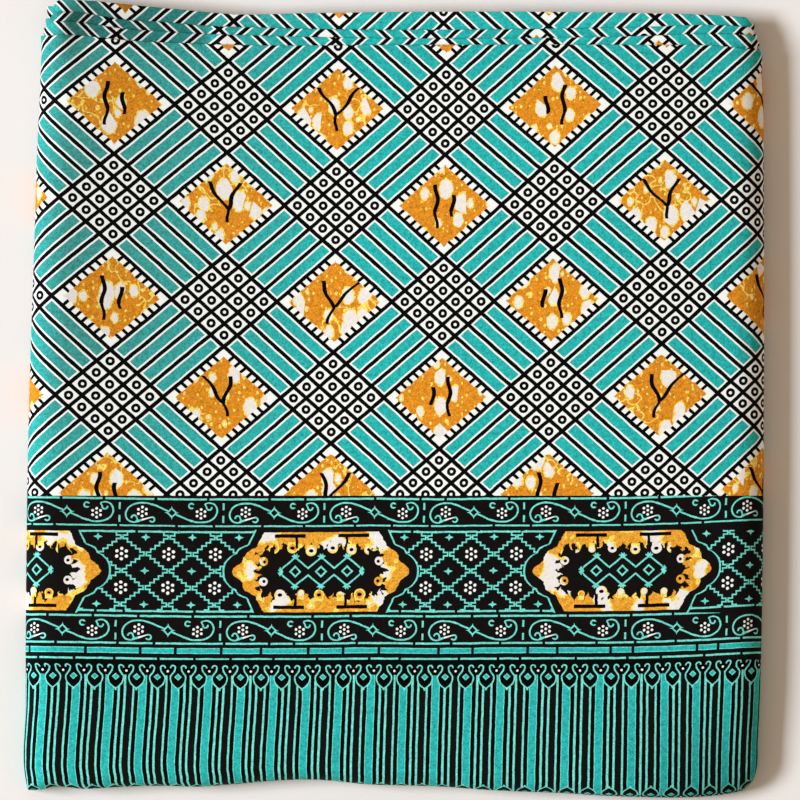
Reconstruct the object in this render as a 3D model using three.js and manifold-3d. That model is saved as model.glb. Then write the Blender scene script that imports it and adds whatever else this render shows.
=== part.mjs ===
// A length of wax print cotton, folded to and fro along its length into a flat stack, then with
// both sides folded under, so that one third of its width lies face up.
// Millimetres, +Z up. X runs across the visible third, +Y to the edge where the folds show, and
// the origin is the middle of the flat underside.
import * as THREE from "three";
import Module from "manifold-3d";

// Heights of the pressed stack.
const STACK_HEIGHT = 20;
const CROWN = 1.2; // how far the middle of the top stands above its edges
const CLOTH_WALL = 1.6; // the outer layer, with the layer that it is folded back on
const SEAM_GAP = 0.3;
const LAYER_PITCH = CLOTH_WALL + SEAM_GAP;
const WIDEST_AT = 9; // height at which the rolled sides stand out furthest

// How the cloth rolls over each side of the stack.
const LEFT_ROLL = 16;
const RIGHT_ROLL = 11;
const FRONT_ROLL = 8;
const FRONT_END_HEIGHT = 8.5; // where the turned-down front end stops
const LOWER_STEP = 22.5; // degrees between points below the widest line
const LEFT_TUCK_STEPS = 2; // the left side is tucked in this many steps below the widest line
const RIGHT_UNDER_STEPS = 4; // the right side rolls right under
const FOLD_SIDE_STEPS = 1; // the lower folds stop just below the widest line
const UNDERSIDE_MARGIN = 24; // from the left side to the edge of the flap underneath

// The lower folds reach this far in under the top panel.
const FOLD_DEPTH = 24;
const FOLD_CORNER = 7;
const FOLD_LEFT = 186; // from the middle to the sides, where the folds are
const FOLD_RIGHT = 194;

// Mesh steps.
const ROLL_STEPS = 5;
const TOP_STEPS = 16;
const UNDERSIDE_STEPS = 9;
const PANEL_ROWS = 14;
const FRONT_ANGLES = [0, 22, 42, 60, 76, 90];

// The outline of the stack, seen from above. Side tables give x at y, the others y at x.
const LEFT_SIDE = [
  { y: 212, x: -185.2 },
  { y: 198, x: -186.6 },
  { y: 170, x: -187.7 },
  { y: 130, x: -189.6 },
  { y: 78, x: -191.2 },
  { y: 0, x: -193.8 },
  { y: -80, x: -195.2 },
  { y: -160, x: -195.7 },
  { y: -202, x: -195.4 },
  { y: -208, x: -194.2 },
];
const RIGHT_SIDE = [
  { y: 212, x: 193.9 },
  { y: 185, x: 194.9 },
  { y: 158, x: 195.4 },
  { y: -54, x: 195.4 },
  { y: -128, x: 194.4 },
  { y: -160, x: 193.6 },
  { y: -181, x: 192.5 },
  { y: -197, x: 191.6 },
  { y: -205, x: 188.3 },
  { y: -208, x: 184.0 },
];
const FRONT_LINE = [
  { x: -194, y: -205.2 },
  { x: -183, y: -204.6 },
  { x: -165, y: -206.4 },
  { x: -140, y: -205.4 },
  { x: -100, y: -205.6 },
  { x: -75, y: -203.8 },
  { x: -48, y: -201.9 },
  { x: -34, y: -202.5 },
  { x: -16, y: -204.4 },
  { x: 24, y: -205.6 },
  { x: 60, y: -208.0 },
  { x: 109, y: -210.4 },
  { x: 140, y: -211.4 },
  { x: 167, y: -210.7 },
  { x: 178, y: -209.1 },
  { x: 188, y: -205.0 },
  { x: 192, y: -199.5 },
];
const PANEL_FOLD_LINE = [
  { x: -186, y: 192.4 },
  { x: -169, y: 192.6 },
  { x: -140, y: 191.0 },
  { x: -103, y: 188.4 },
  { x: -71, y: 187.4 },
  { x: 130, y: 187.4 },
  { x: 172, y: 186.8 },
  { x: 195, y: 184.4 },
];

// The folds that show beyond the panel's own, from the top down. Each line is its outer edge.
const LOWER_FOLDS = [
  {
    name: "fold_upper",
    line: [
      { x: -186, y: 199.0 },
      { x: -169, y: 199.5 },
      { x: -140, y: 196.4 },
      { x: -103, y: 192.9 },
      { x: -71, y: 192.1 },
      { x: 130, y: 192.1 },
      { x: 172, y: 193.7 },
      { x: 190, y: 192.6 },
    ],
  },
  {
    name: "fold_middle",
    line: [
      { x: -186, y: 204.0 },
      { x: -169, y: 204.3 },
      { x: -140, y: 201.0 },
      { x: -103, y: 197.3 },
      { x: -71, y: 196.9 },
      { x: 130, y: 196.9 },
      { x: 172, y: 197.9 },
      { x: 188, y: 196.8 },
    ],
  },
  {
    name: "fold_lower",
    line: [
      { x: -184, y: 211.4 },
      { x: -167, y: 211.2 },
      { x: -139, y: 208.6 },
      { x: -114, y: 206.2 },
      { x: -82, y: 203.5 },
      { x: -50, y: 204.2 },
      { x: 130, y: 204.3 },
      { x: 162, y: 203.5 },
      { x: 184, y: 202.2 },
    ],
  },
];

// The hidden layers, as leaves pressed into one block, from the floor up. Each leaf is one
// bundle of folds; back and front say how far it stops short of the stack's own edges.
const LEAF_PITCH = 2.54;
const LEAF_OVERLAP = 0.35;
const LEAF_EDGE_ROUND = 1.1;
const LEAVES = [
  { back: 6.0, front: 2.6 },
  { back: 3.2, front: 1.2 },
  { back: 7.5, front: 0.6 },
  { back: 4.4, front: 1.4 },
  { back: 0.0, front: 0.8 },
  { back: 0.0, front: 0.6 },
];
const LEAVES_UNDER_FOLDS = 4; // the leaves above these stop behind the lower folds
const LEAF_SIDE_STEPS = 16;
const LEAF_STEP_BACK = 32; // the leaves narrow this far before the lower folds begin
const LEAF_CLEAR = 1.0; // kept behind the turned-down front
const LEAF_CORNER = 0.07; // of half the stack's width

const radians = THREE.MathUtils.degToRad;

// Reads a table between its rows: the value in column `out` where column `by` equals `at`.
function lookup(table, by, out, at) {
  const rows = table[0][by] < table[table.length - 1][by] ? table : table.slice().reverse();
  if (at <= rows[0][by]) return rows[0][out];
  for (let i = 1; i < rows.length; i++) {
    if (at <= rows[i][by]) {
      const share = (at - rows[i - 1][by]) / (rows[i][by] - rows[i - 1][by]);
      return THREE.MathUtils.lerp(rows[i - 1][out], rows[i][out], share);
    }
  }
  return rows[rows.length - 1][out];
}

const leftX = (y) => lookup(LEFT_SIDE, "y", "x", y);
const rightX = (y) => lookup(RIGHT_SIDE, "y", "x", y);
const frontY = (x) => lookup(FRONT_LINE, "x", "y", x);

// The top is a little fuller in the middle than along its edges.
function crownAt(x, y) {
  const across = 1 - (x / 196) ** 2;
  const along = 1 - (y / 213) ** 2;
  return CROWN * Math.max(0, across) * Math.max(0, along);
}

// Points of one cloth surface across the stack, from the left tuck over the top to the right.
// rowY(x) is where the section runs, side the inset from the outline, top and floor the
// heights. A section that rolls right under goes on below the stack as well.
function wrapSection({ rowY, side, top, floor, mid, leftSteps, rightSteps }) {
  const edges = { left: -190, right: 190 };
  for (let pass = 0; pass < 4; pass++) {
    edges.left = leftX(rowY(edges.left));
    edges.right = rightX(rowY(edges.right));
  }
  const left = edges.left + side;
  const right = edges.right - side;
  const rollLeft = LEFT_ROLL - side;
  const rollRight = RIGHT_ROLL - side;
  const points = [];
  const add = (x, z) => points.push(new THREE.Vector3(x, rowY(x), z));
  const rolled = (sign, edge, roll, angle) => {
    const reach = angle > 0 ? top - mid : mid - floor;
    add(edge + sign * roll * (1 - Math.cos(radians(angle))), mid + reach * Math.sin(radians(angle)));
  };
  for (let i = leftSteps; i > 0; i--) rolled(1, left, rollLeft, -LOWER_STEP * i);
  for (let i = 0; i <= ROLL_STEPS; i++) rolled(1, left, rollLeft, (90 * i) / ROLL_STEPS);
  for (let i = 1; i < TOP_STEPS; i++) {
    add(THREE.MathUtils.lerp(left + rollLeft, right - rollRight, i / TOP_STEPS), top);
  }
  for (let i = ROLL_STEPS; i >= 0; i--) rolled(-1, right, rollRight, (90 * i) / ROLL_STEPS);
  for (let i = 1; i <= rightSteps; i++) rolled(-1, right, rollRight, -LOWER_STEP * i);
  if (rightSteps === RIGHT_UNDER_STEPS) {
    for (let i = 1; i <= UNDERSIDE_STEPS; i++) {
      const share = i / UNDERSIDE_STEPS;
      add(THREE.MathUtils.lerp(right - rollRight, edges.left + UNDERSIDE_MARGIN, share), floor);
    }
  }
  for (const p of points) {
    const lift = THREE.MathUtils.clamp((p.z - mid) / Math.max(top - mid, 1), 0, 1);
    p.z += crownAt(p.x, p.y) * lift * Math.min(1, (top - floor) / (STACK_HEIGHT - CLOTH_WALL));
  }
  return points;
}

// One ring of a wall: its outer face, a rounded edge, its inner face and the other edge.
function wallRing(outer, inner) {
  const last = outer.length - 1;
  const edge = (end, next) => {
    const middle = outer[end].clone().add(inner[end]).multiplyScalar(0.5);
    const along = outer[end].clone().sub(outer[next]).normalize();
    return middle.addScaledVector(along, outer[end].distanceTo(inner[end]) * 0.4);
  };
  return [...outer, edge(last, last - 1), ...inner.slice().reverse(), edge(0, 1)];
}

// A closed solid through rings that all have the same number of points. cap(count) lists the
// triangles that close the last ring; an index of -1 is the middle of the ring.
function loft(rings, cap) {
  const count = rings[0].length;
  const index = [];
  for (let row = 0; row + 1 < rings.length; row++) {
    for (let i = 0; i < count; i++) {
      const a = row * count + i;
      const b = row * count + ((i + 1) % count);
      index.push(a, b, b + count, a, b + count, a + count);
    }
  }
  const points = rings.flat();
  const triangles = cap(count);
  for (const row of [0, rings.length - 1]) {
    const middle = points.length;
    if (triangles[0][0] < 0) {
      points.push(new THREE.Box3().setFromPoints(rings[row]).getCenter(new THREE.Vector3()));
    }
    for (const triangle of triangles) {
      const corners = triangle.map((i) => (i < 0 ? middle : row * count + i));
      index.push(...(row === 0 ? corners.reverse() : corners));
    }
  }
  const geometry = new THREE.BufferGeometry().setFromPoints(points);
  geometry.setIndex(index);
  return geometry;
}

// Closes the end of a wall, between its outer and inner faces.
function wallCap(count) {
  const half = (count - 2) / 2;
  const inner = (i) => 2 * half - i;
  const triangles = [[0, inner(0), 2 * half + 1]];
  for (let i = 0; i + 1 < half; i++) {
    triangles.push([i, i + 1, inner(i + 1)], [i, inner(i + 1), inner(i)]);
  }
  triangles.push([half - 1, half, inner(half - 1)]);
  return triangles;
}

// How far a rounded edge of this radius stands back at this distance from its end.
function roundedInset(radius, distance) {
  if (distance >= radius) return 0;
  return radius - Math.sqrt(radius ** 2 - (radius - distance) ** 2);
}

// The top panel: from its own fold at the back, over the top, down over the front, and round
// both sides; on the right it goes on under the stack as the flap that it rests on.
function panelGeometry() {
  const foldY = (x) => lookup(PANEL_FOLD_LINE, "x", "y", x);
  const rings = [];
  const common = { leftSteps: LEFT_TUCK_STEPS, rightSteps: RIGHT_UNDER_STEPS, mid: WIDEST_AT };
  for (const distance of [0.05, 0.35, 0.8]) {
    const bead = roundedInset(CLOTH_WALL / 2, distance);
    const rowY = (x) => foldY(x) - distance;
    const face = (depth) =>
      wrapSection({ ...common, rowY, side: depth, top: STACK_HEIGHT - depth, floor: depth });
    rings.push(wallRing(face(bead), face(CLOTH_WALL - bead)));
  }
  for (let row = 1; row <= PANEL_ROWS; row++) {
    const share = row / PANEL_ROWS;
    const rowY = (x) =>
      THREE.MathUtils.lerp(foldY(x) - CLOTH_WALL / 2, frontY(x) + FRONT_ROLL, share);
    const face = (depth) =>
      wrapSection({ ...common, rowY, side: depth, top: STACK_HEIGHT - depth, floor: depth });
    rings.push(wallRing(face(0), face(CLOTH_WALL)));
  }
  for (const angle of FRONT_ANGLES.slice(1)) {
    const down = 1 - Math.cos(radians(angle));
    const reach = 1 - Math.sin(radians(angle));
    const face = (depth) => {
      const full = STACK_HEIGHT - depth;
      const top = full - (full - FRONT_END_HEIGHT) * down;
      const rowY = (x) => frontY(x) + depth + (FRONT_ROLL - depth) * reach;
      const mid = THREE.MathUtils.lerp(WIDEST_AT, FRONT_END_HEIGHT * 0.55, down);
      return wrapSection({ ...common, rowY, side: depth, top, floor: depth, mid });
    };
    rings.push(wallRing(face(0), face(CLOTH_WALL)));
  }
  return loft(rings.reverse(), wallCap);
}

// One of the folds below the panel's own: two layers pressed together, rolled over both sides.
function foldGeometry(line, depthBelow) {
  const foldY = (x) => {
    const toSide = Math.min(x + FOLD_LEFT, FOLD_RIGHT - x) - depthBelow;
    return lookup(line, "x", "y", x) - roundedInset(FOLD_CORNER, Math.max(0, toSide));
  };
  const panelY = (x) => lookup(PANEL_FOLD_LINE, "x", "y", x);
  const rings = [];
  for (const distance of [0.05, 0.35, 0.8, 6, null]) {
    const bead = distance === null ? 0 : roundedInset(CLOTH_WALL / 2, distance);
    const rowY = (x) => (distance === null ? panelY(x) - FOLD_DEPTH : foldY(x) - distance);
    const face = (depth) =>
      wrapSection({
        rowY,
        side: depthBelow + depth,
        top: STACK_HEIGHT - depthBelow - depth,
        floor: depthBelow + depth,
        mid: WIDEST_AT,
        leftSteps: FOLD_SIDE_STEPS,
        rightSteps: FOLD_SIDE_STEPS,
      });
    rings.push(wallRing(face(bead), face(CLOTH_WALL - bead)));
  }
  return loft(rings.reverse(), wallCap);
}

// How far inside the outline the hidden layers keep at a height, under a side rolled by `roll`.
function sideInset(height, roll, clear) {
  const reach = (height > WIDEST_AT ? STACK_HEIGHT - WIDEST_AT : WIDEST_AT) - clear;
  const share = Math.min(1, Math.abs(height - WIDEST_AT) / reach);
  return clear + Math.max(0, roll - clear) * (1 - Math.sqrt(1 - share ** 2));
}

// The same behind the turned-down front. Below its end the leaves come out to its line.
function frontInset(height) {
  if (height < FRONT_END_HEIGHT - SEAM_GAP) return 0;
  const full = STACK_HEIGHT - CLOTH_WALL;
  const down = Math.min(1, (full - height) / (full - FRONT_END_HEIGHT));
  const reach = 1 - Math.sqrt(1 - (1 - down) ** 2);
  return CLOTH_WALL + LEAF_CLEAR + (FRONT_ROLL - CLOTH_WALL) * reach;
}

// The unit outline of a leaf: a square with its corners cut round.
function leafOutline() {
  const corner = LEAF_CORNER;
  const turns = [
    { x: -1, y: -1 },
    { x: 1, y: -1 },
    { x: 1, y: 1 },
    { x: -1, y: 1 },
  ];
  const outline = [];
  turns.forEach((turn, i) => {
    const next = turns[(i + 1) % turns.length];
    const along = { x: (next.x - turn.x) / 2, y: (next.y - turn.y) / 2 };
    for (let step = 0; step <= LEAF_SIDE_STEPS; step++) {
      const share = THREE.MathUtils.lerp(corner, 2 - corner, step / LEAF_SIDE_STEPS);
      outline.push({ x: turn.x + along.x * share, y: turn.y + along.y * share });
    }
    const pull = corner * (1 - Math.SQRT1_2);
    outline.push({ x: next.x - Math.sign(next.x) * pull, y: next.y - Math.sign(next.y) * pull });
  });
  return outline;
}

// One leaf of the hidden layers, its edge rounded over its thickness.
function leafGeometry(number) {
  const { back, front } = LEAVES[number];
  const bottom = LAYER_PITCH + number * LEAF_PITCH;
  const thick = LEAF_PITCH + LEAF_OVERLAP;
  const underFolds = number < LEAVES_UNDER_FOLDS;
  const foldsClear = LAYER_PITCH * (LOWER_FOLDS.length + 1) + SEAM_GAP;
  const rings = [0, 0.16, 0.5, 0.84, 1].map((share) => {
    const height = bottom + thick * share;
    const round = LEAF_EDGE_ROUND * (2 * share - 1) ** 4;
    const backY = (x) => {
      const panelEdge = lookup(PANEL_FOLD_LINE, "x", "y", x);
      const lowest = lookup(LOWER_FOLDS[LOWER_FOLDS.length - 1].line, "x", "y", x);
      if (underFolds) return lowest - back - round;
      return panelEdge - FOLD_DEPTH - SEAM_GAP * 2 - round;
    };
    const frontEnd = (x) => frontY(x) + Math.max(front, frontInset(height)) + round;
    const nearFolds = PANEL_FOLD_LINE[0].y - FOLD_DEPTH - LEAF_STEP_BACK;
    const clearAt = (y) => (y > nearFolds && underFolds ? foldsClear : LAYER_PITCH + 0.1);
    return leafOutline().map((unit) => {
      const point = { x: unit.x * 190, y: unit.y * 205 };
      for (let pass = 0; pass < 4; pass++) {
        const y = THREE.MathUtils.lerp(frontEnd(point.x), backY(point.x), (unit.y + 1) / 2);
        const clear = clearAt(y);
        const left = leftX(y) + sideInset(height, LEFT_ROLL, clear) + round;
        const right = rightX(y) - sideInset(height, RIGHT_ROLL, clear) - round;
        point.x = THREE.MathUtils.lerp(left, right, (unit.x + 1) / 2);
        point.y = y;
      }
      return new THREE.Vector3(point.x, point.y, height);
    });
  });
  const fan = (count) => {
    const triangles = [];
    for (let i = 0; i < count; i++) triangles.push([-1, i, (i + 1) % count]);
    return triangles;
  };
  return loft(rings, fan);
}

const solids = await Module();
solids.setup();

// Joins closed geometries into one.
function joined(geometries) {
  const parts = geometries.map((geometry) => {
    const mesh = new solids.Mesh({
      numProp: 3,
      vertProperties: Float32Array.from(geometry.getAttribute("position").array),
      triVerts: Uint32Array.from(geometry.getIndex().array),
    });
    return new solids.Manifold(mesh);
  });
  const mesh = solids.Manifold.union(parts).getMesh();
  const geometry = new THREE.BufferGeometry();
  geometry.setAttribute("position", new THREE.BufferAttribute(mesh.vertProperties, 3));
  geometry.setIndex(new THREE.BufferAttribute(mesh.triVerts, 1));
  return geometry;
}

function cloth(name, geometry, color) {
  geometry.computeVertexNormals();
  const material = new THREE.MeshStandardMaterial({ color, roughness: 0.75, metalness: 0 });
  const mesh = new THREE.Mesh(geometry, material);
  mesh.name = name;
  return mesh;
}

const fabric = new THREE.Group();
fabric.name = "folded_wax_print";
fabric.add(cloth("face_panel", panelGeometry(), 0x2ea8a3));
LOWER_FOLDS.forEach(({ name, line }, i) => {
  fabric.add(cloth(name, foldGeometry(line, LAYER_PITCH * (i + 1)), 0x2ea8a3));
});
const leaves = LEAVES.map((_, number) => leafGeometry(number));
fabric.add(cloth("hidden_layers", joined(leaves), 0x2b7f7c));

export default fabric;
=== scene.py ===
import math

import bpy
import numpy as np
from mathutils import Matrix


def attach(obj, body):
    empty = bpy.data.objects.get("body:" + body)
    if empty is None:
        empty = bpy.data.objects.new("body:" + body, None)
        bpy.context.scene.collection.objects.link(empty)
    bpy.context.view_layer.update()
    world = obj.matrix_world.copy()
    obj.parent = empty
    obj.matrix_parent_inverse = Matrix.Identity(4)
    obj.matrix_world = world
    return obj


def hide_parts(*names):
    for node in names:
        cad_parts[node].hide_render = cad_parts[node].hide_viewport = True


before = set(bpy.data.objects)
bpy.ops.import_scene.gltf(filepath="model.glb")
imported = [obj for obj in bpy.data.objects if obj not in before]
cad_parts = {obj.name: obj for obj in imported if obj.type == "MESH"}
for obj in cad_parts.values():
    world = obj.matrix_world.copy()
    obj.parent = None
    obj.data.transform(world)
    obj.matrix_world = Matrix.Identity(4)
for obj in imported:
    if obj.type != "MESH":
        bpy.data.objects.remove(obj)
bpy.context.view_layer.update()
MM = 0.001

# --- The dyes -------------------------------------------------------------------------------
# Cotton dyed through a resist, so that both faces carry the print. The wax leaves the white,
# and the colours are laid beside and over each other: black outlines, teal, and an ochre that
# turns yellow where it runs thin at the edge of the wax.


def linear(hex_code):
    """A colour given as sRGB hex, as linear RGBA."""
    parts = [int(hex_code[i : i + 2], 16) / 255 for i in (1, 3, 5)]
    return (*(c / 12.92 if c < 0.04045 else ((c + 0.055) / 1.055) ** 2.4 for c in parts), 1)


TEAL = linear("#29B1AC")
PALE_TEAL = linear("#72DCCD")
OCHRE = linear("#E08C22")
AMBER = linear("#EAA131")
YELLOW = linear("#FADB66")
WHITE = linear("#F6F5F0")
WAXED = linear("#F0E6DF")
BLACK = linear("#050404")
BROWN_BLACK = linear("#120D0C")
LEFT_TONE = linear("#6F4C08")  # the brownish tone that the teal goes towards at the left


class Wire:
    """The output of a shader node. Arithmetic on it adds Math nodes; & | ~ treat it as a mask."""

    def __init__(self, socket):
        self.socket = socket


def node(tree, kind, *inputs, out=0, points=(), stops=(), **settings):
    """Adds a shader node with its inputs and settings, and returns its output as a Wire."""
    made = tree.nodes.new("ShaderNode" + kind)
    for name, value in settings.items():
        setattr(made, name, value)
    for i, value in enumerate(inputs):
        if isinstance(value, Wire):
            tree.links.new(value.socket, made.inputs[i])
        elif value is not None:
            made.inputs[i].default_value = value
    if points:
        curve = made.mapping.curves[0]
        while len(curve.points) < len(points):
            curve.points.new(0.5, 0.5)
        for spot, (x, y) in zip(curve.points, points):
            spot.location = (x, y)
        made.mapping.update()
    if stops:
        ramp = made.color_ramp
        ramp.interpolation = "CONSTANT"
        ramp.elements[0].color = stops[0][1]
        ramp.elements[1].color = stops[-1][1]
        for place, colour in stops[1:]:
            ramp.elements.new(place).color = colour
    return Wire(made.outputs[out])


def operator(operation, turned=False):
    def apply(a, *others):
        terms = (*others, a) if turned else (a, *others)
        return node(a.socket.node.id_data, "Math", *terms, operation=operation)

    return apply


for name, operation in {
    "__add__": "ADD",
    "__radd__": "ADD",
    "__sub__": "SUBTRACT",
    "__mul__": "MULTIPLY",
    "__rmul__": "MULTIPLY",
    "__truediv__": "DIVIDE",
    "__mod__": "FLOORED_MODULO",
    "__lt__": "LESS_THAN",
    "__gt__": "GREATER_THAN",
    "__abs__": "ABSOLUTE",
    "__floor__": "FLOOR",
    "__and__": "MULTIPLY",
    "__or__": "MAXIMUM",
}.items():
    setattr(Wire, name, operator(operation))
Wire.__rsub__ = operator("SUBTRACT", turned=True)
Wire.__invert__ = lambda a: 1 - a


def hypot(a, b):
    """The length of a 2-D offset given as two Wires."""
    return node(a.socket.node.id_data, "Math", a * a + b * b, 0.5, operation="POWER")


def middled(value, period):
    """A repeating coordinate: the distance from the middle of the period that value is in."""
    return (value / period + 0.5) % 1.0 * period - period / 2


def painted(tree, colour, layers):
    """colour with each (mask, colour) of layers laid over it in turn."""
    for mask, over in layers:
        colour = node(tree, "MixRGB", mask, colour, over)
    return colour


# --- The cloth itself -----------------------------------------------------------------------
# Plain-weave cotton of 0.34 mm to a thread, 135 g/m2, calendered, so that it is smooth with a
# slight wax sheen. IOR 1.5 and a roughness near 0.7, as for smooth printed cotton.
THREAD = 0.34
CLOTH_THICK = 0.35
# Painted shade, as how much darker the colour is made: at the left and less on its roll, the
# right, the back, the front corner.
SHADE_LEFT, LESS_SHADE_ON_ROLL, SHADE_RIGHT, SHADE_BACK, SHADE_CORNER = 0.25, 0.15, 0.1, 0.08, 0.36
SHADE_ON_BARE = 0.3  # the share of it that bare cotton has
BROWNING = 2.7  # how strongly the teal at the left goes towards that brownish tone


def printed_cotton(name, draw, fold_shade=0.0):
    """Cotton with the print that draw(tree, u, v) gives; u and v are millimetres on flat cloth.
    The last argument is painted shade: how much darker the colour is made at the left of the
    folds."""
    material = bpy.data.materials.new(name)
    material.use_nodes = True
    tree = material.node_tree
    tree.nodes.clear()
    flat = node(tree, "UVMap", uv_map="flat_mm")
    # The block and the wet cloth never quite agree: edges wander by a few tenths of a millimetre.
    wander = node(tree, "TexNoise", flat, None, 0.16, 2.0, out=1, noise_dimensions="2D")
    shift = node(tree, "VectorMath", wander, (0.5, 0.5, 0.5), operation="SUBTRACT")
    shift = node(tree, "VectorMath", shift, (0.45, 0.45, 0.0), operation="MULTIPLY")
    moved = node(tree, "VectorMath", flat, shift, operation="ADD")
    u = node(tree, "SeparateXYZ", moved)
    v = Wire(u.socket.node.outputs[1])
    colour = draw(tree, u, v)

    # Dye takes unevenly, in specks, spots and clouds. Bare cotton hardly shows it. The specks are
    # about three threads wide, coarser than the real ones, so that they show.
    speckle = node(tree, "TexNoise", flat, None, 1.1, 3.0, 0.75, noise_dimensions="2D")
    mottle = node(tree, "TexNoise", flat, None, 0.42, 2.0, 0.6, noise_dimensions="2D")
    clouds = node(tree, "TexNoise", flat, None, 0.03, 2.0, noise_dimensions="2D")
    red = node(tree, "SeparateXYZ", colour)
    blue = Wire(red.socket.node.outputs[2])
    bare = node(tree, "Math", red, blue, operation="MINIMUM")
    depth = (speckle * 1.8 + mottle * 0.9 + clouds * 0.1 - 1.4) * ~bare + 1.0
    # Painted shade: the colour is made darker towards both sides, at the fold and at a front
    # corner.
    left = node(tree, "MapRange", u, -30.0, -160.0, 0.0, SHADE_LEFT)
    left = left - node(tree, "MapRange", u, -172.0, -190.0, 0.0, LESS_SHADE_ON_ROLL)
    right = node(tree, "MapRange", u, 105.0, 170.0, 0.0, SHADE_RIGHT)
    away = node(tree, "MapRange", v, 150.0, 320.0, 1.0, 0.0)
    sides = (left + right) * away
    back = node(tree, "MapRange", v, 34.0, 0.0, 0.0, SHADE_BACK)
    corner = node(tree, "MapRange", u, 118.0, 168.0, 0.0, 1.0)
    corner = corner * node(tree, "MapRange", v, 335.0, 395.0, 0.0, SHADE_CORNER)
    # Painted shade at the left of the lower folds.
    open_end = node(tree, "MapRange", u, -100.0, -108.0, 0.0, fold_shade)
    open_end = open_end * node(tree, "MapRange", u, -186.0, -168.0, 0.0, 1.0)
    # What the colour keeps under the painted shade; bare cotton gets less of the shade.
    painted_shading = 1 - (sides + back + corner + open_end) * (1 - bare * (1 - SHADE_ON_BARE))
    # The teal at the left goes towards a brownish tone, over the same place as the painted shade.
    colour = node(tree, "MixRGB", left * away * blue * ~bare * BROWNING, colour, LEFT_TONE)
    colour = node(tree, "VectorMath", colour, None, None, depth * painted_shading, operation="SCALE")

    # The weave itself is raised at its real size. Slubs and a soft handle show more than it does.
    threads = node(tree, "VectorMath", flat, None, None, math.pi / THREAD, operation="SCALE")
    warp = node(tree, "SeparateXYZ", threads)
    weft = Wire(warp.socket.node.outputs[1])
    weave = node(tree, "Math", warp, operation="SINE") * node(tree, "Math", weft, operation="SINE")
    slubs = node(tree, "TexNoise", flat, None, 0.9, 3.0, noise_dimensions="2D")
    soft = node(tree, "TexNoise", flat, None, 0.07, 2.0, noise_dimensions="2D")
    height = weave * 0.03 + slubs * 0.12 + soft * 1.2
    bump = node(tree, "Bump", 0.35, MM)
    tree.links.new(height.socket, bump.socket.node.inputs["Height"])
    shader = tree.nodes.new("ShaderNodeBsdfPrincipled")
    tree.links.new(colour.socket, shader.inputs["Base Color"])
    tree.links.new(bump.socket, shader.inputs["Normal"])
    tree.links.new((0.66 + slubs * 0.16).socket, shader.inputs["Roughness"])
    shader.inputs["IOR"].default_value = 1.5
    shader.inputs["Specular IOR Level"].default_value = 0.04
    shader.inputs["Sheen Weight"].default_value = 0.01
    shader.inputs["Sheen Roughness"].default_value = 0.5
    output = tree.nodes.new("ShaderNodeOutputMaterial")
    tree.links.new(shader.outputs[0], output.inputs[0])
    return material


# --- The field of the print -----------------------------------------------------------------
# Two sets of diagonal bands cross. Where bands cross each other is a diamond of ringed cells,
# where gaps cross is an ochre diamond with a toothed edge, and elsewhere are four teal bars.
REPEAT_U = 116.1
REPEAT_V = 102.55
FIELD_U, FIELD_V = -92.2, 33.0  # the middle of one diamond of rings
BAND = 0.472  # the share of each diagonal repeat that is a band
PERP = REPEAT_U * REPEAT_V / math.hypot(REPEAT_U, REPEAT_V)  # across one diagonal repeat
SIDE = math.hypot(REPEAT_U, REPEAT_V) / 2  # along it
CELL_WHITE, BAR_TEAL = 0.388, 0.287  # half of what is white or teal across a cell, in cells
BAR_WHITE_END, BAR_TEAL_END = 0.249, 0.237  # the same along a bar, in repeats
RING, RING_HALF = 1.62, 0.8  # the radius of a ring, and half the width of its line
TOOTH = 4.27  # from one tooth to the next
DROP = 0.54  # the reach of the largest drop of wax, in cells of the drops


def chances(tree, a, b):
    """Three numbers from 0 to 1 that go by chance, but alike for the same a and b."""
    number = node(tree, "CombineXYZ", a, b)
    chance = node(tree, "TexWhiteNoise", number, out=1, noise_dimensions="2D")
    first = node(tree, "SeparateXYZ", chance)
    return first, *(Wire(first.socket.node.outputs[i]) for i in (1, 2))


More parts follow.
